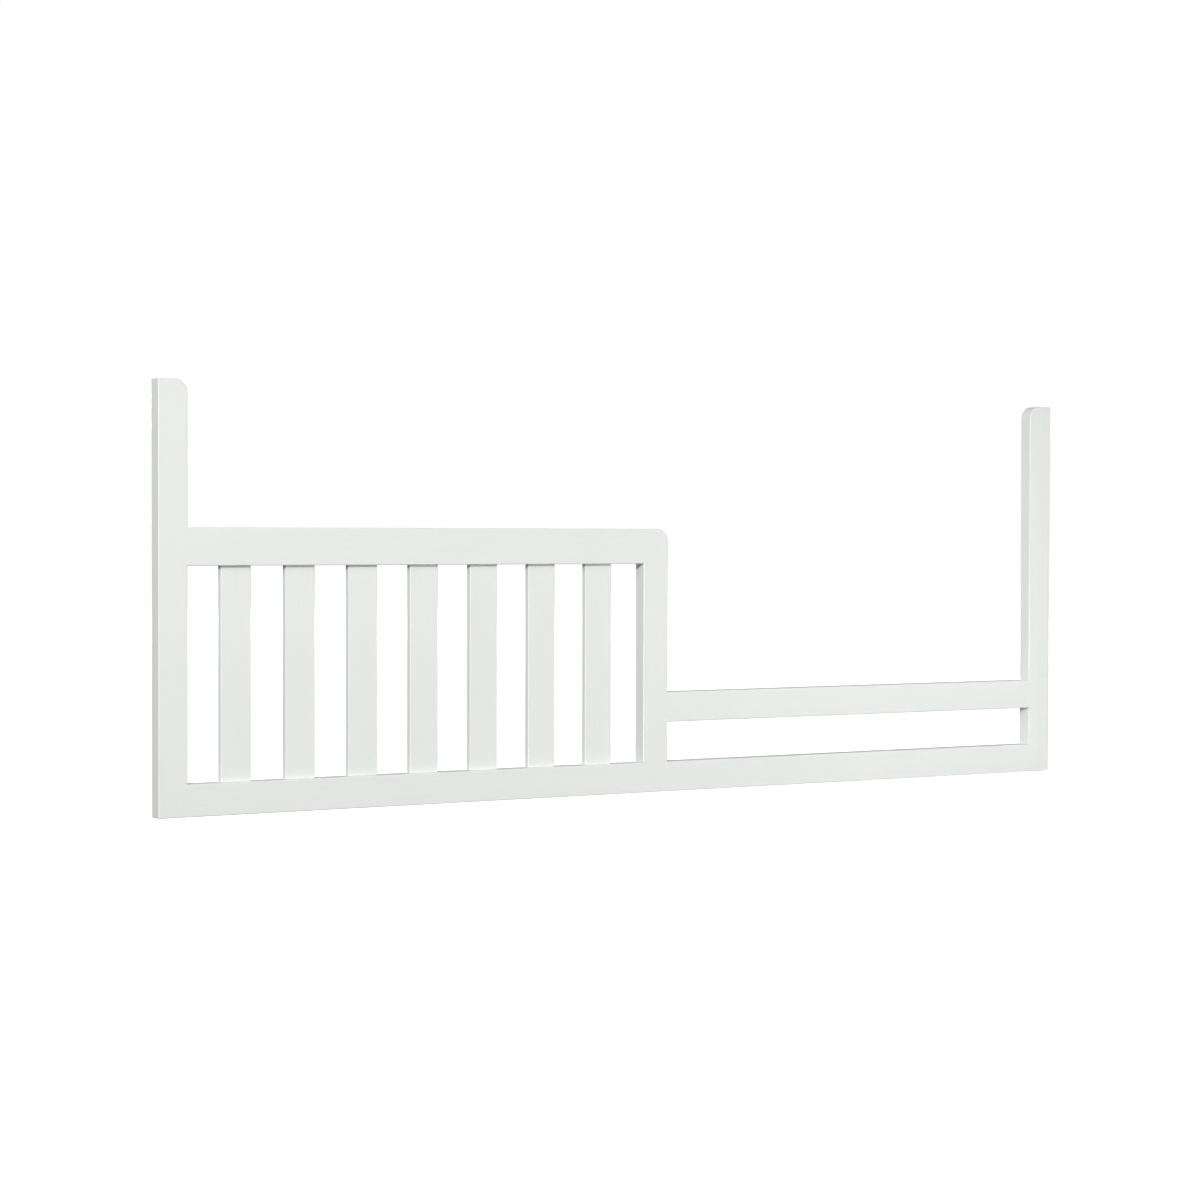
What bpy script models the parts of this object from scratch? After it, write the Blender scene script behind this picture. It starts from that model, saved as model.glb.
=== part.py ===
"""Guard rail panel that turns a baby's crib into a toddler bed.

A painted wooden frame stands on its long edge: two end posts, a shorter mid post and three rails,
butted together on glued dowels. Between the left post and the mid post, a row of thin slats sits in
mortises in the bottom rail and the guard rail. To the right of the mid post only the low entry rail
crosses, so that a child can climb in. Threaded inserts in the backs of the end posts take the bolts
that fix the panel to the crib.

Metres. X runs along the panel, the front faces -Y, and +Z is up. The origin is at the middle of the
underside.
"""

import math

import bmesh
import bpy
from mathutils import Matrix, Vector

# The frame's overall size and its boards
PANEL_LENGTH = 1.320
PANEL_HEIGHT = 0.4955
BOARD_THICKNESS = 0.019
POST_WIDTH = 0.036
BOTTOM_RAIL_HEIGHT = 0.0375
GUARD_RAIL_BOTTOM = 0.2847
GUARD_RAIL_HEIGHT = 0.0435
ENTRY_RAIL_BOTTOM = 0.087
ENTRY_RAIL_HEIGHT = 0.0375

# The slats, which set where the mid post stands
SLAT_COUNT = 7
SLAT_WIDTH = 0.038
SLAT_THICKNESS = 0.008
SLAT_GAP = 0.0441
SLAT_SETBACK = 0.0065
SLAT_HOUSING = 0.012

# How the edges are eased
CORNER_RADIUS = 0.016
CORNER_SEGMENTS = 10
ARRIS_RADIUS = 0.0012
SLAT_ARRIS_RADIUS = 0.001
ARRIS_SEGMENTS = 2
SHARPEST_EASED_ANGLE = math.radians(30)

# The dowels, in pairs across each butt joint
DOWEL_RADIUS = 0.004
DOWEL_LENGTH = 0.040
DOWEL_CHAMFER = 0.001
DOWEL_SPACING = 0.018
GLUE_SPACE = 0.001

# The threaded inserts, tapped M6, in the backs of the end posts
INSERT_RADIUS = 0.005
INSERT_ROOT_RADIUS = 0.0043
INSERT_BORE_RADIUS = 0.0025
INSERT_LENGTH = 0.012
INSERT_RIDGES = 5
INSERT_HOLE_DEPTH = 0.013
INSERT_SINK = 0.0005
INSERT_HEIGHTS = (0.065, 0.440)

ROUND_STEPS = 24
FIT_GAP = 0.0003

# Places worked out from the sizes above
LEFT_END = -PANEL_LENGTH / 2
RIGHT_END = PANEL_LENGTH / 2
LEFT_POST_INNER = LEFT_END + POST_WIDTH
RIGHT_POST_INNER = RIGHT_END - POST_WIDTH
SLAT_PITCH = SLAT_WIDTH + SLAT_GAP
FIRST_SLAT_LEFT = LEFT_POST_INNER + SLAT_GAP
MID_POST_LEFT = FIRST_SLAT_LEFT + SLAT_COUNT * SLAT_PITCH
MID_POST_RIGHT = MID_POST_LEFT + POST_WIDTH
MID_POST_CENTRE = (MID_POST_LEFT + MID_POST_RIGHT) / 2
GUARD_RAIL_TOP = GUARD_RAIL_BOTTOM + GUARD_RAIL_HEIGHT
ENTRY_RAIL_TOP = ENTRY_RAIL_BOTTOM + ENTRY_RAIL_HEIGHT
FRONT = -BOARD_THICKNESS / 2
BACK = BOARD_THICKNESS / 2
SLAT_FRONT = FRONT + SLAT_SETBACK
SLAT_BACK = SLAT_FRONT + SLAT_THICKNESS

# The sides of a board, as axis and sign
LEFT = (0, -1)
RIGHT = (0, 1)
FOOT = (2, -1)
HEAD = (2, 1)

# Finishes: linear colour, roughness, metallic
WHITE_PAINT = ((0.80, 0.82, 0.79), 0.42, 0.0)
BARE_BEECH = ((0.55, 0.38, 0.22), 0.65, 0.0)
ZINC_PLATED_BRASS = ((0.62, 0.54, 0.36), 0.35, 1.0)


def clear_scene():
    """Remove every object that the file opened with."""
    for item in list(bpy.data.objects):
        bpy.data.objects.remove(item, do_unlink=True)


def new_collection(name):
    """Make a collection under the scene and return it."""
    collection = bpy.data.collections.new(name)
    bpy.context.scene.collection.children.link(collection)
    return collection


def add_object(name, mesh, collection, parent=None):
    """Wrap a mesh in an object, in its collection and under its parent."""
    item = bpy.data.objects.new(name, mesh)
    collection.objects.link(item)
    item.parent = parent
    return item


def give_finish(item, finish):
    """Give an object a material of its own, from a colour, a roughness and a metallic value."""
    colour, roughness, metallic = finish
    material = bpy.data.materials.new(f"{item.name}_finish")
    material.use_nodes = True
    shader = material.node_tree.nodes["Principled BSDF"]
    shader.inputs["Base Color"].default_value = (*colour, 1.0)
    shader.inputs["Roughness"].default_value = roughness
    shader.inputs["Metallic"].default_value = metallic
    item.data.materials.append(material)


def add_box(shape, low, high):
    """Add a box between two corners to a bmesh and return its edges."""
    size = Vector(high) - Vector(low)
    centre = (Vector(high) + Vector(low)) / 2
    place = Matrix.Translation(centre) @ Matrix.Diagonal((*size, 1.0))
    made = bmesh.ops.create_cube(shape, size=1.0, matrix=place)
    return {edge for vertex in made["verts"] for edge in vertex.link_edges}


def add_upright_bar(shape, low, high, radius):
    """Add a bar along Z, with its four long edges rounded, to a bmesh."""
    edges = add_box(shape, low, high)
    upright = [edge for edge in edges if abs(edge.verts[0].co.z - edge.verts[1].co.z) > radius]
    bmesh.ops.bevel(shape, geom=upright, offset=radius, segments=ARRIS_SEGMENTS, profile=0.5,
                    affect="EDGES")


def add_cylinder(shape, centre, direction, radius, length):
    """Add a closed cylinder about a centre, along a direction, to a bmesh."""
    turn = Vector((0, 0, 1)).rotation_difference(Vector(direction)).to_matrix().to_4x4()
    bmesh.ops.create_cone(shape, cap_ends=True, segments=ROUND_STEPS, radius1=radius, radius2=radius,
                          depth=length, matrix=Matrix.Translation(centre) @ turn)


def finish_mesh(name, shape):
    """Turn a bmesh into a mesh and free it."""
    mesh = bpy.data.meshes.new(name)
    shape.to_mesh(mesh)
    shape.free()
    return mesh


def lies_on(edge, side, half_size):
    """Tell whether an edge lies in one side plane of a centred board."""
    axis, sign = side
    return all(abs(vertex.co[axis] - sign * half_size[axis]) < 1e-6 for vertex in edge.verts)


class Workshop:
    """Holds the collections and the panel's empty, and makes boards, turned pieces and cutters."""

    def __init__(self):
        self.parts = new_collection("toddler_bed_guard_rail")
        self.cutters = new_collection("cutters")
        self.panel = add_object("panel", None, self.parts)

    def board(self, name, left, right, foot, head, square=(), rounded=None):
        """Make a board of full thickness between its left, right, foot and head.

        Its arrises are eased all round, except about the sides named in square, which butt against
        another board. The corner where the two sides in rounded meet is cut to the corner radius.
        """
        half_size = Vector(((right - left) / 2, BOARD_THICKNESS / 2, (head - foot) / 2))
        shape = bmesh.new()
        edges = add_box(shape, -half_size, half_size)
        if rounded:
            corner = [edge for edge in edges if all(lies_on(edge, side, half_size) for side in rounded)]
            bmesh.ops.bevel(shape, geom=corner, offset=CORNER_RADIUS, segments=CORNER_SEGMENTS,
                            profile=0.5, affect="EDGES")
        weight = shape.edges.layers.float.new("bevel_weight_edge")
        for edge in shape.edges:
            butts = any(lies_on(edge, side, half_size) for side in square)
            edge[weight] = float(edge.calc_face_angle() > SHARPEST_EASED_ANGLE and not butts)
        item = add_object(name, finish_mesh(name, shape), self.parts, self.panel)
        item.location = ((left + right) / 2, 0.0, (foot + head) / 2)
        ease = item.modifiers.new("eased_arrises", "BEVEL")
        ease.width = ARRIS_RADIUS
        ease.segments = ARRIS_SEGMENTS
        ease.limit_method = "WEIGHT"
        give_finish(item, WHITE_PAINT)
        return item

    def slat(self, name, left):
        """Make one slat, whose ends run into the rails' mortises."""
        half_size = Vector((SLAT_WIDTH, SLAT_THICKNESS,
                            GUARD_RAIL_BOTTOM - BOTTOM_RAIL_HEIGHT + 2 * SLAT_HOUSING)) / 2
        shape = bmesh.new()
        add_upright_bar(shape, -half_size, half_size, SLAT_ARRIS_RADIUS)
        item = add_object(name, finish_mesh(name, shape), self.parts, self.panel)
        item.location = (left + half_size.x, SLAT_FRONT + half_size.y,
                         BOTTOM_RAIL_HEIGHT - SLAT_HOUSING + half_size.z)
        give_finish(item, WHITE_PAINT)
        return item

    def turned(self, name, profile, closed, finish):
        """Turn a profile of (radius, height) points, listed down its outer side, about Z."""
        mesh = bpy.data.meshes.new(name)
        last = len(profile) if closed else len(profile) - 1
        links = [(index, (index + 1) % len(profile)) for index in range(last)]
        mesh.from_pydata([(radius, 0.0, height) for radius, height in profile], links, [])
        item = add_object(name, mesh, self.parts, self.panel)
        lathe = item.modifiers.new("lathe", "SCREW")
        lathe.steps = ROUND_STEPS
        lathe.render_steps = ROUND_STEPS
        lathe.use_merge_vertices = True
        lathe.merge_threshold = 0.00001
        give_finish(item, finish)
        return item

    def cutter(self, name, shape, boards):
        """Make a hidden cutter from a bmesh and take it out of each of the boards."""
        item = add_object(name, finish_mesh(name, shape), self.cutters)
        item.hide_render = True
        item.display_type = "WIRE"
        for board in boards:
            cut = board.modifiers.new(name, "BOOLEAN")
            cut.operation = "DIFFERENCE"
            cut.solver = "EXACT"
            cut.object = item


def make_frame(shop):
    """Make the posts and rails, and return them by name."""
    boards = {
        "left_post": shop.board("left_post", LEFT_END, LEFT_POST_INNER, 0.0, PANEL_HEIGHT,
                                rounded=(RIGHT, HEAD)),
        "right_post": shop.board("right_post", RIGHT_POST_INNER, RIGHT_END, 0.0, PANEL_HEIGHT,
                                 rounded=(LEFT, HEAD)),
        "bottom_rail": shop.board("bottom_rail", LEFT_POST_INNER + FIT_GAP, RIGHT_POST_INNER - FIT_GAP,
                                  0.0, BOTTOM_RAIL_HEIGHT, square=(LEFT, RIGHT)),
        "guard_rail": shop.board("guard_rail", LEFT_POST_INNER + FIT_GAP, MID_POST_RIGHT,
                                 GUARD_RAIL_BOTTOM, GUARD_RAIL_TOP, square=(LEFT,),
                                 rounded=(RIGHT, HEAD)),
        "mid_post": shop.board("mid_post", MID_POST_LEFT, MID_POST_RIGHT, BOTTOM_RAIL_HEIGHT + FIT_GAP,
                               GUARD_RAIL_BOTTOM - FIT_GAP, square=(FOOT, HEAD)),
        "entry_rail": shop.board("entry_rail", MID_POST_RIGHT + FIT_GAP, RIGHT_POST_INNER - FIT_GAP,
                                 ENTRY_RAIL_BOTTOM, ENTRY_RAIL_TOP, square=(LEFT, RIGHT)),
    }
    return boards


def make_slats(shop, boards):
    """Make the row of slats and cut the mortises that hold their ends."""
    mortises = bmesh.new()
    for index in range(SLAT_COUNT):
        left = FIRST_SLAT_LEFT + index * SLAT_PITCH
        shop.slat(f"slat_{index + 1}", left)
        low = Vector((left, SLAT_FRONT, BOTTOM_RAIL_HEIGHT - SLAT_HOUSING))
        high = Vector((left + SLAT_WIDTH, SLAT_BACK, GUARD_RAIL_BOTTOM + SLAT_HOUSING))
        clearance = Vector((FIT_GAP, FIT_GAP, FIT_GAP))
        add_upright_bar(mortises, low - clearance, high + clearance, SLAT_ARRIS_RADIUS + FIT_GAP)
    shop.cutter("slat_mortises", mortises, (boards["bottom_rail"], boards["guard_rail"]))


def make_dowel_joint(shop, name, boards, centre, along, across):
    """Pin two butted boards with a pair of dowels, and drill both boards for them.

    The dowels run along one direction through the joint's centre plane and are spaced evenly about
    the centre in the other direction.
    """
    half = DOWEL_LENGTH / 2
    end_radius = DOWEL_RADIUS - DOWEL_CHAMFER
    profile = ((0.0, half), (end_radius, half), (DOWEL_RADIUS, half - DOWEL_CHAMFER),
               (DOWEL_RADIUS, DOWEL_CHAMFER - half), (end_radius, -half), (0.0, -half))
    holes = bmesh.new()
    for number, side in enumerate((-1, 1), start=1):
        place = Vector(centre) + side * DOWEL_SPACING / 2 * Vector(across)
        dowel = shop.turned(f"dowel_{name}_{number}", profile, False, BARE_BEECH)
        dowel.location = place
        dowel.rotation_euler = Vector((0, 0, 1)).rotation_difference(Vector(along)).to_euler()
        add_cylinder(holes, place, along, DOWEL_RADIUS + FIT_GAP, DOWEL_LENGTH + 2 * GLUE_SPACE)
    shop.cutter(f"dowel_holes_{name}", holes, boards)


def make_dowel_joints(shop, boards):
    """Pin every butt joint of the frame."""
    bottom_rail_middle = BOTTOM_RAIL_HEIGHT / 2
    guard_rail_middle = (GUARD_RAIL_BOTTOM + GUARD_RAIL_TOP) / 2
    entry_rail_middle = (ENTRY_RAIL_BOTTOM + ENTRY_RAIL_TOP) / 2
    level = (1, 0, 0)
    upright = (0, 0, 1)
    joints = (
        ("left_post_bottom_rail", (LEFT_POST_INNER, 0.0, bottom_rail_middle), level, upright),
        ("left_post_guard_rail", (LEFT_POST_INNER, 0.0, guard_rail_middle), level, upright),
        ("mid_post_bottom_rail", (MID_POST_CENTRE, 0.0, BOTTOM_RAIL_HEIGHT), upright, level),
        ("mid_post_guard_rail", (MID_POST_CENTRE, 0.0, GUARD_RAIL_BOTTOM), upright, level),
        ("mid_post_entry_rail", (MID_POST_RIGHT, 0.0, entry_rail_middle), level, upright),
        ("right_post_bottom_rail", (RIGHT_POST_INNER, 0.0, bottom_rail_middle), level, upright),
        ("right_post_entry_rail", (RIGHT_POST_INNER, 0.0, entry_rail_middle), level, upright),
    )
    for name, centre, along, across in joints:
        joined = [board for key, board in boards.items() if key in name]
        make_dowel_joint(shop, name, joined, centre, along, across)


def insert_profile():
    """Outline of a threaded insert: ridges down the outside, a plain bore up the inside."""
    ridge_height = INSERT_LENGTH / INSERT_RIDGES
    outside = []
    for index in range(INSERT_RIDGES):
        top = INSERT_LENGTH / 2 - index * ridge_height
        outside.append((INSERT_ROOT_RADIUS, top))
        outside.append((INSERT_RADIUS, top - ridge_height / 2))
    foot = -INSERT_LENGTH / 2
    return outside + [(INSERT_ROOT_RADIUS, foot), (INSERT_BORE_RADIUS, foot),
                      (INSERT_BORE_RADIUS, INSERT_LENGTH / 2)]


def make_inserts(shop, boards):
    """Sink a threaded insert near the foot and the head of each end post, from the back."""
    holes = bmesh.new()
    for post, middle in (("left_post", LEFT_END + POST_WIDTH / 2),
                         ("right_post", RIGHT_END - POST_WIDTH / 2)):
        for place, height in zip(("lower", "upper"), INSERT_HEIGHTS):
            insert = shop.turned(f"threaded_insert_{post}_{place}", insert_profile(), True,
                                 ZINC_PLATED_BRASS)
            insert.location = (middle, BACK - INSERT_SINK - INSERT_LENGTH / 2, height)
            insert.rotation_euler = (-math.pi / 2, 0.0, 0.0)
            add_cylinder(holes, (middle, BACK, height), (0, 1, 0), INSERT_RADIUS + FIT_GAP,
                         2 * INSERT_HOLE_DEPTH)
    shop.cutter("insert_holes", holes, (boards["left_post"], boards["right_post"]))


def main():
    """Build the whole panel."""
    clear_scene()
    shop = Workshop()
    boards = make_frame(shop)
    make_slats(shop, boards)
    make_dowel_joints(shop, boards)
    make_inserts(shop, boards)


main()
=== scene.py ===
"""Finish the guard rail panel: painted boards and slats, fluted dowels and plated inserts.

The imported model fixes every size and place. Each sub-assembly below takes its boxes from that
frame, works out finer surfaces inside them and dresses them. Metres, with X along the panel, the
front facing -Y, and +Z up.
"""

import logging
import math
from collections.abc import Mapping, Sequence
from dataclasses import dataclass, field
from enum import Enum
from typing import Any

import bmesh
import bpy
import numpy as np
from mathutils import Matrix, Vector


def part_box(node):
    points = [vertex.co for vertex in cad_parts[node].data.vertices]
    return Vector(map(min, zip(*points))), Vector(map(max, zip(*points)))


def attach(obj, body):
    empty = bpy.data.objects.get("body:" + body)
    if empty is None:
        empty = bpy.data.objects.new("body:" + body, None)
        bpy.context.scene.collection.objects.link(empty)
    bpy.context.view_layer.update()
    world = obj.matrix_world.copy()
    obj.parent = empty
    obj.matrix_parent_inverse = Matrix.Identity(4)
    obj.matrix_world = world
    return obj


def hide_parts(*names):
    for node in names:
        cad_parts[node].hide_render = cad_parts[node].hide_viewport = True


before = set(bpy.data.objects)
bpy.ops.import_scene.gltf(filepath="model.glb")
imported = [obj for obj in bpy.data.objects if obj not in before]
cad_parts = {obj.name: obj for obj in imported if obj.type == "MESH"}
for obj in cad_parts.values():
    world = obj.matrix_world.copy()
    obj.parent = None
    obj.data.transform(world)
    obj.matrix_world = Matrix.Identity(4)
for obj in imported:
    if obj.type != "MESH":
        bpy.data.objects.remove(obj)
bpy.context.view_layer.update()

log = logging.getLogger("guard_rail")

MM = 0.001
ROOT_BODY = "root"

# The frame leaves 0.3 mm between neighbours. Paint bridges all but a hairline of a butt joint.
GLUE_LINE = 0.3 * MM
SEAM = 0.04 * MM
# Points of one piece that lie closer than this are one point.
MERGE_DISTANCE = 0.001 * MM
# Facets that turn less than this from each other are shaded as one round.
SHARP_EDGE = math.radians(20)

# A drilled hole ends in a shallow cone. The cone's height and its blunt tip are shares of the
# hole's radius. The cutter starts a little outside the wood.
CONE_HEIGHT = 0.2
CONE_TIP = 0.05
CUTTER_OVERLAP = 1.0 * MM

# The Mix node has several sockets of each name, so its colours are reached by number.
MIX_FIRST, MIX_SECOND, MIX_RESULT = 6, 7, 2


class Slot(Enum):
    """The record's material slots."""

    PAINT = "white_paint"
    BEECH = "beech_dowel"
    INSERT = "brass_insert"


class Grain(Enum):
    """The way the grain runs in a piece of wood."""

    LEVEL = "level"
    UPRIGHT = "upright"

    def scale(self, width_mm: float, length_mm: float) -> tuple[float, float, float]:
        """Work out how a pattern is scaled, so that it is drawn out along the grain.

        Args:
            width_mm: the width of one mark across the grain.
            length_mm: the length of one mark along the grain.

        Returns:
            Marks to the metre along X, Y and Z.
        """
        across, along = 1 / (width_mm * MM), 1 / (length_mm * MM)
        return (along, across, across) if self is Grain.LEVEL else (across, across, along)


class Side(Enum):
    """A side of a board seen from the front, as its axis (0 across, 1 up) and its sign."""

    LEFT = (0, -1)
    RIGHT = (0, 1)
    FOOT = (1, -1)
    HEAD = (1, 1)


def linear(hex_colour: str) -> tuple[float, float, float, float]:
    """Turn an sRGB hex colour into linear red, green, blue and an alpha of 1.

    Args:
        hex_colour: six hex digits, such as "E9ECE8".

    Returns:
        The four channel values that a colour socket takes.
    """
    channels = (int(hex_colour[start:start + 2], 16) / 255 for start in (0, 2, 4))
    red, green, blue = (value / 12.92 if value <= 0.04045 else ((value + 0.055) / 1.055) ** 2.4
                        for value in channels)
    return red, green, blue, 1.0


def packed_nodes(prefix: str) -> list[str]:
    """List the frame's nodes whose names start with a prefix, in order of name."""
    return sorted(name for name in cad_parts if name.startswith(prefix))


def add_node(tree: bpy.types.NodeTree, kind: str, inputs: Mapping[Any, Any] | None = None,
             **settings: Any) -> bpy.types.Node:
    """Add a node with its settings, and give its inputs values or links.

    Args:
        tree: the node tree to add to.
        kind: the node's type name.
        inputs: for each input's name or number, a value, or an output socket to link from.
        settings: the node's own properties.

    Returns:
        The new node.
    """
    node = tree.nodes.new(kind)
    for name, value in settings.items():
        setattr(node, name, value)
    for key, value in (inputs or {}).items():
        if isinstance(value, bpy.types.NodeSocket):
            tree.links.new(value, node.inputs[key])
        else:
            node.inputs[key].default_value = value
    return node


def empty_material(name: str) -> bpy.types.Material:
    """Make a material that has no nodes yet.

    Args:
        name: the material's name.

    Returns:
        The new material.
    """
    material = bpy.data.materials.new(name)
    material.use_nodes = True
    material.node_tree.nodes.clear()
    return material


@dataclass(frozen=True)
class SatinPaint:
    """Water-based satin enamel, sprayed in thin coats on sanded solid wood.

    The film levels out nearly flat, so the boards read as one soft white. Close up, the grain
    still lifts it a little along the board, and the spray leaves a fine orange peel that breaks up
    the highlight.
    """

    name: str
    grain: Grain
    colour: str = "E8EBE8"
    thin_colour: str = "E2E5E1"
    roughness: float = 0.50
    roughness_drift: float = 0.05
    ior: float = 1.50
    # Real softwood grain lines are about 1 mm apart, too fine to show whole, so 2.4 mm is drawn.
    grain_width_mm: float = 2.4
    grain_length_mm: float = 90.0
    grain_height_mm: float = 0.08
    grain_tint: float = 0.45
    peel_width_mm: float = 1.1
    peel_height_mm: float = 0.02
    cloud_width_mm: float = 140.0
    cloud_tint: float = 0.35

    def build(self) -> bpy.types.Material:
        """Make the material.

        Returns:
            A material whose grain runs along the board.
        """
        material = empty_material(self.name)
        tree = material.node_tree
        place = add_node(tree, "ShaderNodeTexCoord").outputs["Object"]
        stretched = add_node(tree, "ShaderNodeMapping", {
            "Vector": place, "Scale": self.grain.scale(self.grain_width_mm, self.grain_length_mm)})
        lines = add_node(tree, "ShaderNodeTexNoise", {
            "Vector": stretched.outputs["Vector"], "Scale": 1.0, "Detail": 3.0, "Roughness": 0.6,
            "Distortion": 0.4})
        peel = add_node(tree, "ShaderNodeTexNoise", {
            "Vector": place, "Scale": 1 / (self.peel_width_mm * MM), "Detail": 1.0})
        cloud = add_node(tree, "ShaderNodeTexNoise", {
            "Vector": place, "Scale": 1 / (self.cloud_width_mm * MM), "Detail": 2.0})
        film = add_node(tree, "ShaderNodeMapRange", {
            "Value": cloud.outputs["Fac"], "From Min": 0.3, "From Max": 0.7, "To Min": 0.0,
            "To Max": self.cloud_tint})
        veins = add_node(tree, "ShaderNodeMapRange", {
            "Value": lines.outputs["Fac"], "From Min": 0.25, "From Max": 0.45,
            "To Min": self.grain_tint, "To Max": 0.0})
        thin = add_node(tree, "ShaderNodeMath", {
            0: film.outputs["Result"], 1: veins.outputs["Result"]}, operation="ADD", use_clamp=True)
        tint = add_node(tree, "ShaderNodeMix", {
            "Factor": thin.outputs["Value"], MIX_FIRST: linear(self.colour),
            MIX_SECOND: linear(self.thin_colour)}, data_type="RGBA")
        gloss = add_node(tree, "ShaderNodeMapRange", {
            "Value": peel.outputs["Fac"], "To Min": self.roughness - self.roughness_drift,
            "To Max": self.roughness + self.roughness_drift})
        ridges = add_node(tree, "ShaderNodeBump", {
            "Height": lines.outputs["Fac"], "Strength": 0.35,
            "Distance": self.grain_height_mm * MM})
        surface = add_node(tree, "ShaderNodeBump", {
            "Height": peel.outputs["Fac"], "Strength": 0.25, "Distance": self.peel_height_mm * MM,
            "Normal": ridges.outputs["Normal"]})
        shader = add_node(tree, "ShaderNodeBsdfPrincipled", {
            "Base Color": tint.outputs[MIX_RESULT], "Roughness": gloss.outputs["Result"],
            "IOR": self.ior, "Normal": surface.outputs["Normal"]})
        add_node(tree, "ShaderNodeOutputMaterial", {"Surface": shader.outputs["BSDF"]})
        return material


@dataclass(frozen=True)
class BareWood:
    """Bare wood as cutters leave it: turned beech, or the drilled inside of a softwood board.

    Beech is pale pink-brown, with short dark flecks along the grain. Drilled softwood is yellower
    and rougher. Neither has any shine.
    """

    name: str
    grain: Grain
    colour: str
    fleck_colour: str
    roughness: float = 0.72
    ior: float = 1.45
    fleck_width_mm: float = 0.5
    fleck_length_mm: float = 3.0
    fleck_height_mm: float = 0.06

    def build(self) -> bpy.types.Material:
        """Make the material.

        Returns:
            A material whose flecks run along the grain.
        """
        material = empty_material(self.name)
        tree = material.node_tree
        place = add_node(tree, "ShaderNodeTexCoord").outputs["Object"]
        stretched = add_node(tree, "ShaderNodeMapping", {
            "Vector": place, "Scale": self.grain.scale(self.fleck_width_mm, self.fleck_length_mm)})
        flecks = add_node(tree, "ShaderNodeTexNoise", {
            "Vector": stretched.outputs["Vector"], "Scale": 1.0, "Detail": 3.0, "Roughness": 0.65})
        shade = add_node(tree, "ShaderNodeMapRange", {
            "Value": flecks.outputs["Fac"], "From Min": 0.42, "From Max": 0.66})
        tint = add_node(tree, "ShaderNodeMix", {
            "Factor": shade.outputs["Result"], MIX_FIRST: linear(self.colour),
            MIX_SECOND: linear(self.fleck_colour)}, data_type="RGBA")
        fibres = add_node(tree, "ShaderNodeBump", {
            "Height": flecks.outputs["Fac"], "Strength": 0.5,
            "Distance": self.fleck_height_mm * MM})
        shader = add_node(tree, "ShaderNodeBsdfPrincipled", {
            "Base Color": tint.outputs[MIX_RESULT], "Roughness": self.roughness,
            "IOR": self.ior, "Normal": fibres.outputs["Normal"]})
        add_node(tree, "ShaderNodeOutputMaterial", {"Surface": shader.outputs["BSDF"]})
        return material


@dataclass(frozen=True)
class PassivatedZinc:
    """Zinc alloy, die cast and yellow passivated, as threaded inserts for wood are.

    The passivate gives a brassy film that drifts between straw and olive, over the fine tooth of
    the casting.
    """

    name: str
    colour: str = "CDB878"
    drift_colour: str = "B3A27C"
    roughness: float = 0.34
    roughness_drift: float = 0.08
    drift_width_mm: float = 3.5
    tooth_width_mm: float = 0.25
    tooth_height_mm: float = 0.02

    def build(self) -> bpy.types.Material:
        """Make the material.

        Returns:
            A metal whose colour drifts over a few millimetres.
        """
        material = empty_material(self.name)
        tree = material.node_tree
        place = add_node(tree, "ShaderNodeTexCoord").outputs["Object"]
        drift = add_node(tree, "ShaderNodeTexNoise", {
            "Vector": place, "Scale": 1 / (self.drift_width_mm * MM), "Detail": 2.0})
        tooth = add_node(tree, "ShaderNodeTexNoise", {
            "Vector": place, "Scale": 1 / (self.tooth_width_mm * MM), "Detail": 2.0})
        blend = add_node(tree, "ShaderNodeMapRange", {
            "Value": drift.outputs["Fac"], "From Min": 0.35, "From Max": 0.65})
        tint = add_node(tree, "ShaderNodeMix", {
            "Factor": blend.outputs["Result"], MIX_FIRST: linear(self.colour),
            MIX_SECOND: linear(self.drift_colour)}, data_type="RGBA")
        gloss = add_node(tree, "ShaderNodeMapRange", {
            "Value": tooth.outputs["Fac"], "To Min": self.roughness - self.roughness_drift,
            "To Max": self.roughness + self.roughness_drift})
        grit = add_node(tree, "ShaderNodeBump", {
            "Height": tooth.outputs["Fac"], "Strength": 0.3,
            "Distance": self.tooth_height_mm * MM})
        shader = add_node(tree, "ShaderNodeBsdfPrincipled", {
            "Base Color": tint.outputs[MIX_RESULT], "Metallic": 1.0,
            "Roughness": gloss.outputs["Result"], "Normal": grit.outputs["Normal"]})
        add_node(tree, "ShaderNodeOutputMaterial", {"Surface": shader.outputs["BSDF"]})
        return material


@dataclass
class Finishes:
    """Every material of the panel, made once."""

    paint: dict[Grain, bpy.types.Material] = field(init=False)
    dowel: dict[Grain, bpy.types.Material] = field(init=False)
    drilled: dict[Grain, bpy.types.Material] = field(init=False)
    insert: bpy.types.Material = field(init=False)

    def __post_init__(self) -> None:
        """Build the paint and the bare woods for both grains, and the inserts' metal."""
        self.paint = {grain: SatinPaint(f"satin_paint_{grain.value}", grain).build()
                      for grain in Grain}
        self.dowel = {grain: BareWood(f"turned_beech_{grain.value}", grain, colour="D3AE84",
                                      fleck_colour="B98A5E").build() for grain in Grain}
        self.drilled = {grain: BareWood(f"drilled_softwood_{grain.value}", grain, colour="DDBE8C",
                                        fleck_colour="C09B66").build() for grain in Grain}
        self.insert = PassivatedZinc("passivated_zinc").build()


def ring_quads(rings: int, points: int, closed: bool = False) -> np.ndarray:
    """Join neighbouring rings of a grid with quads.

    Quad (i, j) takes points j and j + 1 of rings i and i + 1, where j wraps round the ring.

    Args:
        rings: how many rings the grid has.
        points: how many points each ring has.
        closed: whether the last ring joins the first again.

    Returns:
        Point indices, four to a row.
    """
    ring = np.arange(rings if closed else rings - 1)[:, None]
    here = np.arange(points)[None, :]
    onward = (here + 1) % points
    near, far = ring * points, (ring + 1) % rings * points
    return np.stack((near + here, near + onward, far + onward, far + here), axis=-1).reshape(-1, 4)


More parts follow.
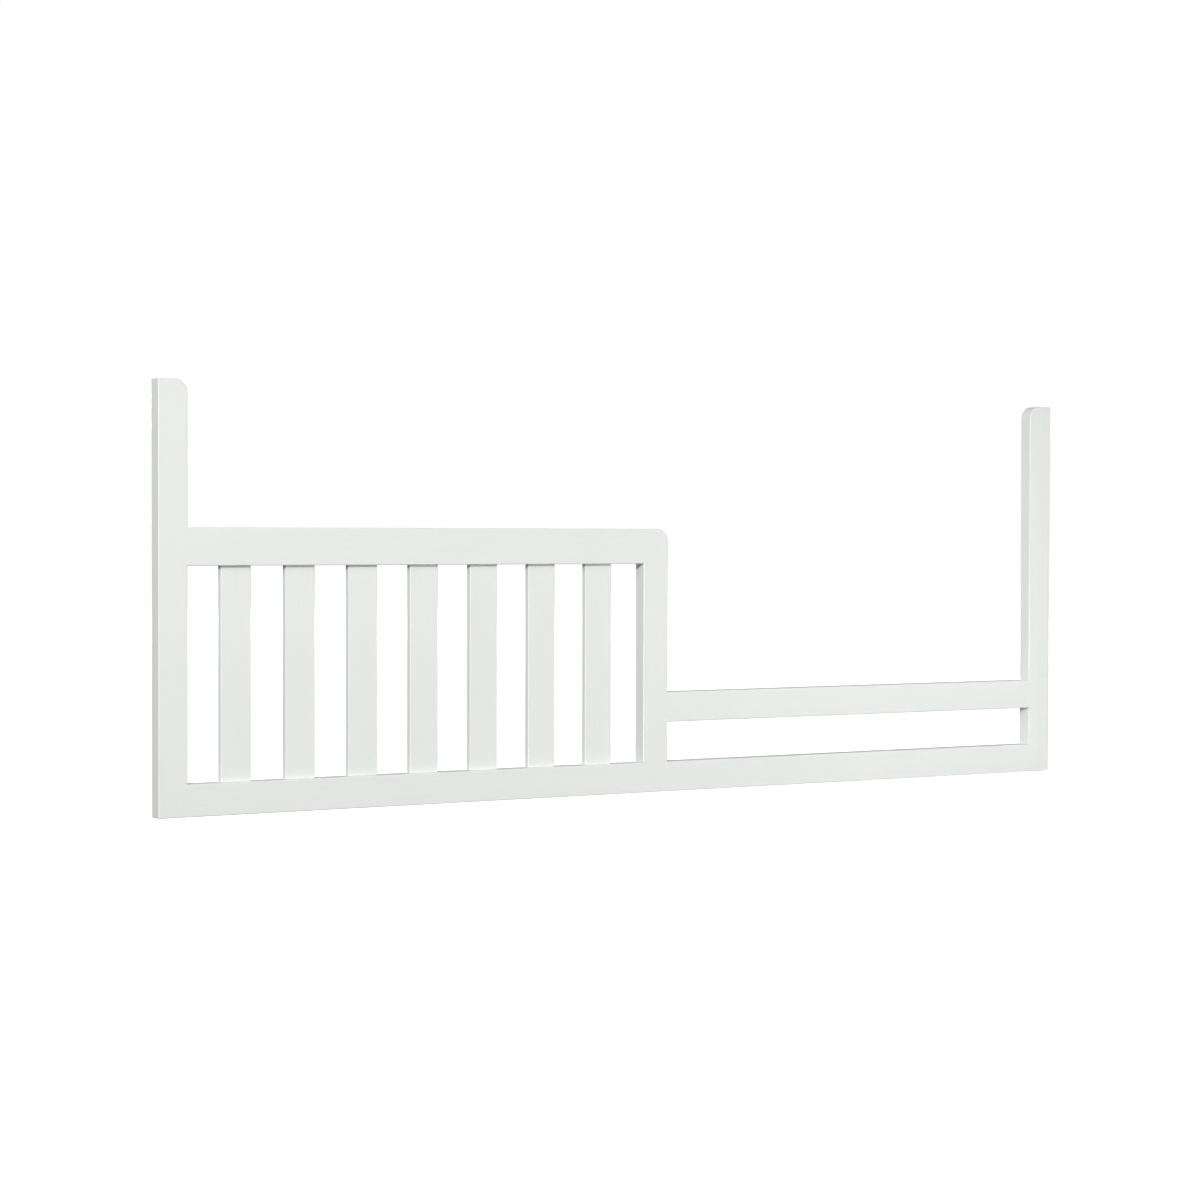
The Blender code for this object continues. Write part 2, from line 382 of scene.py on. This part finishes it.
def make_solid(name: str, grid: np.ndarray, closed: bool = False) -> bpy.types.Object:
    """Turn a grid of rings into a closed mesh object.

    Args:
        name: the object's name.
        grid: points by ring and by place round the ring, shaped (rings, points, 3).
        closed: whether the rings form a loop. If not, the first and last are capped flat.

    Returns:
        The object, with doubled points merged and every face pointing outwards.
    """
    rings, points, _ = grid.shape
    faces = ring_quads(rings, points, closed).tolist()
    if not closed:
        faces.append(list(range(points)))
        faces.append(list(range((rings - 1) * points, rings * points)))
    mesh = bpy.data.meshes.new(name)
    mesh.from_pydata(grid.reshape(-1, 3).tolist(), [], faces)
    shape = bmesh.new()
    shape.from_mesh(mesh)
    bmesh.ops.remove_doubles(shape, verts=shape.verts, dist=MERGE_DISTANCE)
    bmesh.ops.recalc_face_normals(shape, faces=shape.faces)
    shape.to_mesh(mesh)
    shape.free()
    solid = bpy.data.objects.new(name, mesh)
    bpy.context.scene.collection.objects.link(solid)
    return solid


def carve(piece: bpy.types.Object, cutters: Sequence[bpy.types.Object]) -> None:
    """Take cutters out of a piece for good, and lay each cutter's material on what it lays bare.

    Args:
        piece: the object to cut.
        cutters: closed objects, which are used up.
    """
    for cutter in cutters:
        cut = piece.modifiers.new(cutter.name, "BOOLEAN")
        cut.operation = "DIFFERENCE"
        cut.solver = "EXACT"
        cut.material_mode = "TRANSFER"
        cut.object = cutter
    depsgraph = bpy.context.evaluated_depsgraph_get()
    carved = bpy.data.meshes.new_from_object(piece.evaluated_get(depsgraph))
    piece.modifiers.clear()
    piece.data = carved
    for cutter in cutters:
        bpy.data.objects.remove(cutter)


def smooth(piece: bpy.types.Object) -> None:
    """Shade a piece's rounds smooth and keep each flat face flat to its rim.

    The normal at a face's corner is the mean of the normals of the faces that meet at that point
    and turn less than the sharp edge from it. Each counts by the square of its area, so that a
    flat face outweighs the narrow facets of the arris beside it.

    Args:
        piece: the object, whose mesh gets its own corner normals.
    """
    mesh = piece.data
    mesh.shade_smooth()
    sides = np.empty(len(mesh.polygons), dtype=np.int64)
    area = np.empty(len(mesh.polygons))
    facing = np.empty(3 * len(mesh.polygons))
    mesh.polygons.foreach_get("loop_total", sides)
    mesh.polygons.foreach_get("area", area)
    mesh.polygons.foreach_get("normal", facing)
    point = np.empty(len(mesh.loops), dtype=np.int64)
    mesh.loops.foreach_get("vertex_index", point)

    # Each corner of a face gets that face's normal and weight
    face = np.repeat(np.arange(len(sides)), sides)
    facing = facing.reshape(-1, 3)[face]
    weight = area[face] ** 2

    # Every pair of corners, here and there, that share a point
    meeting = np.bincount(point, minlength=len(mesh.vertices))
    first_at_point = np.cumsum(meeting) - meeting
    partners = meeting[point]
    here = np.repeat(np.arange(len(point)), partners)
    step = np.arange(len(here)) - np.repeat(np.cumsum(partners) - partners, partners)
    there = np.argsort(point, kind="stable")[first_at_point[point[here]] + step]

    near = np.einsum("ij,ij->i", facing[here], facing[there]) > math.cos(SHARP_EDGE)
    share = (near * weight[there])[:, None] * facing[there]
    normals = np.stack([np.bincount(here, share[:, axis], len(point)) for axis in range(3)],
                       axis=1)
    normals /= np.linalg.norm(normals, axis=1, keepdims=True)
    mesh.normals_split_custom_set(normals.tolist())


def install(piece: bpy.types.Object, node: str) -> None:
    """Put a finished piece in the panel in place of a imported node, and report it.

    Args:
        piece: the finished object.
        node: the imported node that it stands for.
    """
    smooth(piece)
    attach(piece, ROOT_BODY)
    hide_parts(node)
    log.info("%s: %d faces", piece.name, len(piece.data.polygons))


@dataclass(frozen=True)
class Flush:
    """A stretch of a board's side that another member butts against, flush front and back."""

    side: Side
    member: str

    def reach(self) -> tuple[float, float]:
        """Find the stretch from the member's box.

        Returns:
            Where it starts and where it ends along the side.
        """
        low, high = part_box(self.member)
        along = 2 if self.side in (Side.LEFT, Side.RIGHT) else 0
        return low[along], high[along]


@dataclass
class Board:
    """A board with rounded arrises, shaped after the panel was glued and sanded flush.

    Its surface is a stack of outlines from the front face to the back face. Each point of the
    outline has its own arris radius. Through the round of an arris the point draws in by that
    radius times one minus the sine of the turn, while its depth moves on by the radius times one
    minus the cosine. Where a member butts flush the radius is nothing, and at the ends of that
    stretch it follows the member's own rounded section, so that the two arrises meet in a mitre.

    The butts are the board's own ends that stand against another member. They are stretched over
    the glue line to their seams. The whole board can grow, to serve as the cutter of a mortise.
    """

    node: str
    grain: Grain
    arris: float = 1.2 * MM
    butts: frozenset[Side] = frozenset()
    flush: tuple[Flush, ...] = ()
    round_corner: frozenset[Side] = frozenset()
    corner_radius: float = 16.0 * MM
    corner_steps: int = 24
    arris_steps: int = 6
    stretch: float = GLUE_LINE - SEAM
    grow: float = 0.0
    low: np.ndarray = field(init=False)
    high: np.ndarray = field(init=False)
    turn: np.ndarray = field(init=False)

    def __post_init__(self) -> None:
        """Take the board's box from the frame, and bring its butting ends up to their seams."""
        low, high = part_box(self.node)
        self.low = np.array(low) - self.grow
        self.high = np.array(high) + self.grow
        for side in self.butts:
            axis, sign = side.value
            (self.low, self.high)[sign > 0][2 * axis] += sign * self.stretch
        self.turn = np.linspace(0.0, math.pi / 2, self.arris_steps + 1)

    def is_eased(self, side: Side, place: float) -> bool:
        """Tell whether a side has its arrises at one place along it.

        Args:
            side: the side.
            place: a distance along it, in the frame's metres.

        Returns:
            True where nothing butts against the side and it is no butt itself.
        """
        met = (flush.reach() for flush in self.flush if flush.side is side)
        covered = any(start - GLUE_LINE <= place <= end + GLUE_LINE for start, end in met)
        return side not in self.butts and not covered

    def edge(self, side: Side) -> float:
        """Find where a side lies across its own direction."""
        axis, sign = side.value
        return (self.low, self.high)[sign > 0][2 * axis]

    def corner(self, pair: tuple[Side, Side], quarter: int) -> np.ndarray:
        """Work out the outline round one corner.

        Where both sides are eased, the point is the corner's centre plus the radius times the
        direction, which is also the way its arris draws in. Elsewhere it is one square corner.

        Args:
            pair: the corner's upright side and its level side.
            quarter: how many quarter turns lead to the corner's first direction.

        Returns:
            Rows of place across, place up, pull across, pull up and arris radius.
        """
        spot = np.array([self.edge(side) for side in pair])
        eased = np.array([self.is_eased(pair[0], spot[1]), self.is_eased(pair[1], spot[0])])
        outward = np.array([side.value[1] for side in pair])
        if not eased.all():
            return np.array([[*spot, *(outward * eased), self.arris * eased.any()]])
        radius = self.corner_radius if self.round_corner == frozenset(pair) else self.arris
        angle = (np.linspace(0.0, 1.0, self.corner_steps + 1) + quarter) * math.pi / 2
        ways = np.stack((np.cos(angle), np.sin(angle)), axis=1)
        places = spot - outward * radius + ways * radius
        return np.column_stack((places, ways, np.full(len(ways), self.arris)))

    def run(self, side: Side, forward: bool) -> np.ndarray:
        """Work out the outline along one side, between its corners.

        At either end of a flush stretch the place lies inside it by the arris radius times one
        minus the sine of the turn, where the arris has shrunk to the radius times one minus the
        cosine.

        Args:
            side: the side.
            forward: whether the outline runs towards greater places here.

        Returns:
            Rows like those of a corner.
        """
        axis, sign = side.value
        inside = self.arris * (1 - np.sin(self.turn))
        shrunk = self.arris * (1 - np.cos(self.turn))
        first, last = self.low[2 - 2 * axis], self.high[2 - 2 * axis]
        parts = [np.empty((0, 2))]
        for start, end in sorted(flush.reach() for flush in self.flush if flush.side is side):
            if start > first + GLUE_LINE:
                parts.append(np.stack((start + inside, shrunk), axis=1)[::-1])
            if end < last - GLUE_LINE:
                parts.append(np.stack((end - inside, shrunk), axis=1))
        places = np.concatenate(parts)
        if not forward:
            places = places[::-1]
        rows = np.zeros((len(places), 5))
        rows[:, axis] = self.edge(side)
        rows[:, 1 - axis] = places[:, 0]
        rows[:, 2 + axis] = sign
        rows[:, 4] = places[:, 1]
        return rows

    def surface(self) -> np.ndarray:
        """Work out the board's outlines.

        They run anticlockwise as the front shows them, from the top right corner. Each is drawn in
        and moved on by the turns of the arris, first from the front face, then to the back face.

        Returns:
            Points shaped (outlines, points, 3), from the front face to the back face.
        """
        outline = np.concatenate((
            self.corner((Side.RIGHT, Side.HEAD), 0), self.run(Side.HEAD, False),
            self.corner((Side.LEFT, Side.HEAD), 1), self.run(Side.LEFT, False),
            self.corner((Side.LEFT, Side.FOOT), 2), self.run(Side.FOOT, True),
            self.corner((Side.RIGHT, Side.FOOT), 3), self.run(Side.RIGHT, True)))
        inset = (1 - np.sin(self.turn))[:, None] * outline[:, 4]
        depth = (1 - np.cos(self.turn))[:, None] * outline[:, 4]
        inset = np.concatenate((inset, inset[::-1]))
        y = np.concatenate((self.low[1] + depth, self.high[1] - depth[::-1]))
        x, z = (outline[:, axis] - inset * outline[:, 2 + axis] for axis in (0, 1))
        return np.stack((x, y, z), axis=-1)

    def build(self, finish: bpy.types.Material, prefix: str = "painted") -> bpy.types.Object:
        """Make the board's object.

        Args:
            finish: the material of its whole surface.
            prefix: the first word of its name.

        Returns:
            The board, still solid.
        """
        board = make_solid(f"{prefix}_{self.node}", self.surface())
        board.data.materials.append(finish)
        return board


def drill(name: str, mouth: Vector, axis: Vector, radius: float, depth: float,
          finish: bpy.types.Material, points: int = 48) -> bpy.types.Object:
    """Make the cutter for a round hole: a cylinder whose far end is a shallow drill cone.

    Each ring stands across the axis at its own depth and radius.

    Args:
        name: the cutter's name.
        mouth: the centre of the hole's mouth.
        axis: the unit direction into the wood.
        radius: the hole's radius.
        depth: the hole's depth to its shoulder.
        finish: the material that the hole lays bare.
        points: how many points go round.

    Returns:
        The cutter.
    """
    angle = np.linspace(0.0, 2 * math.pi, points, endpoint=False)
    side = np.array(axis.orthogonal().normalized())
    other = np.array(axis.cross(Vector(side)))
    around = np.cos(angle)[:, None] * side + np.sin(angle)[:, None] * other
    radii = np.array((radius, radius, CONE_TIP * radius))
    depths = np.array((-CUTTER_OVERLAP, depth, depth + CONE_HEIGHT * radius))
    grid = (np.array(mouth) + depths[:, None, None] * np.array(axis)
            + radii[:, None, None] * around[None, :, :])
    cutter = make_solid(name, grid)
    cutter.data.materials.append(finish)
    return cutter


@dataclass
class Dowels:
    """The fluted beech dowels, two across each butt joint.

    Round the dowel the radius dips by the flute depth times the square of the sine of half the
    flute count times the angle. Towards each end the whole radius falls off along a chamfer.
    """

    finishes: Finishes
    flutes: int = 16
    flute_depth: float = 0.25 * MM
    chamfer: float = 1.0 * MM
    points: int = 128

    def surface(self, node: str, grain: Grain) -> np.ndarray:
        """Work out one dowel's rings.

        Args:
            node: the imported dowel.
            grain: the way the dowel points.

        Returns:
            Points shaped (rings, points, 3).
        """
        low, high = (np.array(corner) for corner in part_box(node))
        centre, half = (low + high) / 2, (high - low) / 2
        along = 0 if grain is Grain.LEVEL else 2
        first, second = [axis for axis in range(3) if axis != along]
        length, radius = half[along], half[first]
        angle = np.linspace(0.0, 2 * math.pi, self.points, endpoint=False)
        place = np.array((-length, self.chamfer - length, length - self.chamfer, length))
        loss = np.array((self.chamfer, 0.0, 0.0, self.chamfer))
        dip = self.flute_depth * np.sin(self.flutes * angle / 2) ** 2
        radii = radius - loss[:, None] - dip[None, :]
        grid = np.empty((*radii.shape, 3))
        grid[..., along] = centre[along] + place[:, None]
        grid[..., first] = centre[first] + radii * np.cos(angle)
        grid[..., second] = centre[second] + radii * np.sin(angle)
        return grid

    def build(self) -> None:
        """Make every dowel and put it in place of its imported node."""
        for node in packed_nodes("dowel_"):
            low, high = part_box(node)
            grain = Grain.LEVEL if high.x - low.x > high.z - low.z else Grain.UPRIGHT
            dowel = make_solid(f"fluted_{node}", self.surface(node, grain))
            dowel.data.materials.append(self.finishes.dowel[grain])
            install(dowel, node)


@dataclass
class Inserts:
    """The threaded inserts in the backs of the end posts, tapped M6 with a hexagon drive.

    The surface is a loop of rings: down the outside, across the foot, up the tapped bore, up the
    hexagon socket and out over the rim. A thread is a ridge whose height at any point is a wave of
    the depth less the share of the pitch that the angle has turned. The wave's power narrows the
    crest. The hexagon's radius is half its width across flats over the cosine of the angle from
    the middle of the nearest flat.
    """

    finishes: Finishes
    outer_ridge: float = 0.75 * MM
    outer_pitch: float = 2.4 * MM
    outer_power: float = 1.6
    tapped_radius: float = 2.5 * MM
    tapped_ridge: float = 0.55 * MM
    tapped_pitch: float = 1.0 * MM
    tapped_power: float = 1.2
    across_flats: float = 6.0 * MM
    socket_depth: float = 4.0 * MM
    rim_chamfer: float = 0.4 * MM
    run_out: float = 0.8 * MM
    points: int = 96
    rings_per_pitch: int = 12

    def ridge(self, depth: np.ndarray, angle: np.ndarray, pitch: float,
              power: float) -> np.ndarray:
        """Work out how high a thread stands, from 0 at its root to 1 at its crest.

        Args:
            depth: distances along the axis, one to a ring.
            angle: angles round the axis.
            pitch: the thread's pitch.
            power: the power that narrows the crest.

        Returns:
            Heights by ring and angle, run out to nothing at the first and last ring.
        """
        phase = depth[:, None] / pitch - angle[None, :] / (2 * math.pi)
        wave = np.abs(2 * (phase - np.floor(phase)) - 1) ** power
        span = np.minimum(depth - depth.min(), depth.max() - depth)
        return wave * np.clip(span / self.run_out, 0.0, 1.0)[:, None]

    def surface(self, node: str) -> np.ndarray:
        """Work out one insert's rings.

        Args:
            node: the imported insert.

        Returns:
            Points shaped (rings, points, 3), which close into a loop.
        """
        low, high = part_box(node)
        radius = (high.x - low.x) / 2
        length = high.y - low.y
        angle = np.linspace(0.0, 2 * math.pi, self.points, endpoint=False)
        root = radius - self.outer_ridge

        outer_rings = round(length / self.outer_pitch * self.rings_per_pitch)
        outer_depth = np.linspace(self.rim_chamfer, length - self.rim_chamfer, outer_rings)
        outer = root + self.outer_ridge * self.ridge(
            outer_depth, angle, self.outer_pitch, self.outer_power)

        bore_length = length - self.socket_depth
        tapped_rings = round(bore_length / self.tapped_pitch * self.rings_per_pitch)
        tapped_depth = np.linspace(length - self.rim_chamfer, self.socket_depth, tapped_rings)
        tapped = self.tapped_radius + self.tapped_ridge * self.ridge(
            tapped_depth, angle, self.tapped_pitch, self.tapped_power)

        from_flat = (angle + math.pi / 6) % (math.pi / 3) - math.pi / 6
        hexagon = self.across_flats / 2 / np.cos(from_flat)
        socket_depth = np.array((self.socket_depth, self.rim_chamfer, 0.0))
        socket = np.stack((hexagon, hexagon, hexagon + self.rim_chamfer))

        foot = np.full((2, self.points), root - self.rim_chamfer)
        foot[1] = self.tapped_radius + self.rim_chamfer
        rim = np.full((1, self.points), root - self.rim_chamfer)
        radii = np.concatenate((rim, outer, foot, tapped, socket))
        depth = np.concatenate(((0.0,), outer_depth, (length, length), tapped_depth, socket_depth))
        middle = np.array(((low.x + high.x) / 2, high.y, (low.z + high.z) / 2))
        grid = np.empty((*radii.shape, 3))
        grid[..., 0] = middle[0] + radii * np.cos(angle)
        grid[..., 1] = middle[1] - depth[:, None]
        grid[..., 2] = middle[2] + radii * np.sin(angle)
        return grid

    def build(self) -> None:
        """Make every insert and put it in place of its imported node."""
        for node in packed_nodes("threaded_insert_"):
            insert = make_solid(f"plated_{node}", self.surface(node), closed=True)
            insert.data.materials.append(self.finishes.insert)
            install(insert, node)


@dataclass
class Posts:
    """The two end posts, drilled from the back for the inserts, and the mid post."""

    finishes: Finishes
    hole_depth: float = 13.0 * MM

    def end_post(self, node: str, inner: Side, rails: Sequence[str]) -> None:
        """Make an end post.

        Args:
            node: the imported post.
            inner: the side that faces the other end post, whose top corner is rounded.
            rails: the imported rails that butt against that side.
        """
        board = Board(node, Grain.UPRIGHT, flush=tuple(Flush(inner, rail) for rail in rails),
                      round_corner=frozenset((inner, Side.HEAD)))
        post = board.build(self.finishes.paint[Grain.UPRIGHT])
        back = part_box(node)[1].y
        holes = []
        for place in ("lower", "upper"):
            low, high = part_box(f"threaded_insert_{node}_{place}")
            mouth = Vector(((low.x + high.x) / 2, back, (low.z + high.z) / 2))
            radius = (high.x - low.x) / 2 + GLUE_LINE
            holes.append(drill(f"hole_{node}_{place}", mouth, Vector((0, -1, 0)), radius,
                               self.hole_depth, self.finishes.drilled[Grain.UPRIGHT]))
        carve(post, holes)
        install(post, node)

    def build(self) -> None:
        """Make the three posts."""
        self.end_post("left_post", Side.RIGHT, ("bottom_rail", "guard_rail"))
        self.end_post("right_post", Side.LEFT, ("bottom_rail", "entry_rail"))
        board = Board("mid_post", Grain.UPRIGHT, butts=frozenset((Side.FOOT, Side.HEAD)),
                      flush=(Flush(Side.RIGHT, "entry_rail"),))
        install(board.build(self.finishes.paint[Grain.UPRIGHT]), "mid_post")


@dataclass
class Slats:
    """The row of thin slats, whose square ends run into the rails."""

    finishes: Finishes
    arris: float = 1.0 * MM
    nodes: list[str] = field(init=False)

    def __post_init__(self) -> None:
        """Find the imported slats, from left to right."""
        self.nodes = packed_nodes("slat_")

    def board(self, node: str, grow: float = 0.0) -> Board:
        """Describe one slat, or with some growth its mortises."""
        return Board(node, Grain.UPRIGHT, arris=self.arris + grow, grow=grow, stretch=0.0,
                     butts=frozenset((Side.FOOT, Side.HEAD)))

    def mortises(self) -> list[bpy.types.Object]:
        """Make the cutters that open the rails for the slats' ends."""
        bare = self.finishes.drilled[Grain.LEVEL]
        return [self.board(node, GLUE_LINE).build(bare, "mortise") for node in self.nodes]

    def build(self) -> None:
        """Make every slat."""
        for node in self.nodes:
            slat = self.board(node).build(self.finishes.paint[Grain.UPRIGHT])
            install(slat, node)


@dataclass
class Rails:
    """The bottom rail, the guard rail over the slats and the low entry rail."""

    finishes: Finishes
    slats: Slats

    def build(self) -> None:
        """Make the three rails, with the slats' mortises in the two that hold them."""
        paint = self.finishes.paint[Grain.LEVEL]
        both_ends = frozenset((Side.LEFT, Side.RIGHT))
        bottom = Board("bottom_rail", Grain.LEVEL, butts=both_ends,
                       flush=(Flush(Side.HEAD, "mid_post"),))
        guard = Board("guard_rail", Grain.LEVEL, butts=frozenset((Side.LEFT,)),
                      flush=(Flush(Side.FOOT, "mid_post"),),
                      round_corner=frozenset((Side.RIGHT, Side.HEAD)))
        entry = Board("entry_rail", Grain.LEVEL, butts=both_ends)
        for board in (bottom, guard, entry):
            rail = board.build(paint)
            if board is not entry:
                carve(rail, self.slats.mortises())
            install(rail, board.node)


@dataclass(frozen=True)
class Lamp:
    """One studio light.

    The power is in watts. The spread is the light's width as an angle, seen from the point it is
    aimed at. The beam is the full angle that it shines into.
    """

    name: str
    place: tuple[float, float, float]
    power: float
    spread: float
    aim: tuple[float, float, float] = (0.0, 0.0, 0.25)
    beam: float = math.pi

    def build(self) -> None:
        """Hang a soft disk of light that no view shows."""
        place, aim = Vector(self.place), Vector(self.aim)
        data = bpy.data.lights.new(self.name, "AREA")
        data.shape = "DISK"
        data.size = 2 * (place - aim).length * math.tan(self.spread / 2)
        data.energy = self.power
        data.spread = self.beam
        light = bpy.data.objects.new(self.name, data)
        light.visible_camera = False
        turned = (place - aim).to_track_quat("Z", "Y").to_matrix().to_4x4()
        light.matrix_world = Matrix.Translation(place) @ turned
        bpy.context.scene.collection.objects.link(light)


@dataclass
class Studio:
    """A pale floor, an even white surround and five soft lights.

    The key stands far off to the left, high enough to throw short shadows under the rails, and
    makes the edges that turn left nearly as bright as the fronts. A low light in front and a
    higher one to the left even out the fronts. A narrow beam lifts the foot of the right post,
    and a light far behind brightens the back. The surround looks white and fills every shadow a
    little.
    """

    floor_size: float = 60.0
    floor_colour: str = "F2F3F1"
    floor_glow: float = 0.84
    surround: float = 0.21
    lamps: tuple[Lamp, ...] = (
        Lamp("key", place=(-18.4, -20.4, 9.2), power=5700.0, spread=math.radians(5)),
        Lamp("front", place=(0.0, -1.3, 0.3), power=3.6, spread=math.radians(20)),
        Lamp("left", place=(-1.6, -1.0, 1.3), power=7.4, spread=math.radians(20),
             aim=(-0.4, 0.0, 0.3)),
        Lamp("right", place=(-0.9, -2.6, 0.35), power=0.50, spread=math.radians(12),
             aim=(0.68, 0.0, 0.15), beam=math.radians(26)),
        Lamp("rear", place=(1.0, 9.0, 0.9), power=480.0, spread=math.radians(8)),
    )
    camera_place: tuple[float, float, float] = (-2.0427, -3.0611, 0.3208)
    camera_turn: float = math.radians(32.8792)
    camera_dip: float = math.radians(1.2663)
    camera_roll: float = math.radians(0.1255)
    camera_lens: float = 88.62
    camera_sensor: float = 36.0

    def floor(self) -> None:
        """Lay a wide floor whose own glow keeps the panel's shadow faint."""
        half = self.floor_size / 2
        mesh = bpy.data.meshes.new("floor")
        corners = ((-half, -half, 0), (half, -half, 0), (half, half, 0), (-half, half, 0))
        mesh.from_pydata(corners, [], [(0, 1, 2, 3)])
        floor = bpy.data.objects.new("floor", mesh)
        bpy.context.scene.collection.objects.link(floor)
        material = empty_material("studio_floor")
        tree = material.node_tree
        shader = add_node(tree, "ShaderNodeBsdfPrincipled", {
            "Base Color": linear(self.floor_colour), "Roughness": 1.0, "Specular IOR Level": 0.0,
            "Emission Color": (1.0, 1.0, 1.0, 1.0), "Emission Strength": self.floor_glow})
        add_node(tree, "ShaderNodeOutputMaterial", {"Surface": shader.outputs["BSDF"]})
        mesh.materials.append(material)
        floor.visible_diffuse = False
        floor.visible_glossy = False

    def world(self) -> None:
        """Surround the panel with white that gives only a soft part of its light."""
        world = bpy.data.worlds.new("studio")
        world.use_nodes = True
        tree = world.node_tree
        tree.nodes.clear()
        seen = add_node(tree, "ShaderNodeLightPath").outputs["Is Camera Ray"]
        strength = add_node(tree, "ShaderNodeMapRange", {
            "Value": seen, "To Min": self.surround, "To Max": 1.0})
        light = add_node(tree, "ShaderNodeBackground", {
            "Color": (1.0, 1.0, 1.0, 1.0), "Strength": strength.outputs["Result"]})
        add_node(tree, "ShaderNodeOutputWorld", {"Surface": light.outputs["Background"]})
        bpy.context.scene.world = world

    def camera(self) -> None:
        """Stand the camera by the panel's left end, nearly level with its guard rail."""
        cos_dip = math.cos(self.camera_dip)
        ahead = Vector((math.sin(self.camera_turn) * cos_dip, math.cos(self.camera_turn) * cos_dip,
                        -math.sin(self.camera_dip)))
        level = Vector((math.cos(self.camera_turn), -math.sin(self.camera_turn), 0.0))
        turned = Matrix.Rotation(self.camera_roll, 3, -ahead)
        right, up = turned @ level, turned @ level.cross(ahead)
        axes = Matrix((right, up, -ahead)).transposed().to_4x4()
        data = bpy.data.cameras.new("camera")
        data.lens = self.camera_lens
        data.sensor_width = self.camera_sensor
        camera = bpy.data.objects.new("camera", data)
        camera.matrix_world = Matrix.Translation(self.camera_place) @ axes
        bpy.context.scene.collection.objects.link(camera)
        bpy.context.scene.camera = camera

    def build(self) -> None:
        """Set up the whole studio."""
        self.floor()
        self.world()
        for lamp in self.lamps:
            lamp.build()
        self.camera()
        bpy.context.scene.view_settings.view_transform = "Standard"


def main() -> None:
    """Build each sub-assembly in order, then the studio."""
    logging.basicConfig(level=logging.INFO, format="%(name)s: %(message)s")
    finishes = Finishes()
    slats = Slats(finishes)
    for assembly in (Posts(finishes), Rails(finishes, slats), slats, Dowels(finishes),
                     Inserts(finishes), Studio()):
        log.info("building %s", type(assembly).__name__)
        assembly.build()


if __name__ == "__main__":
    main()
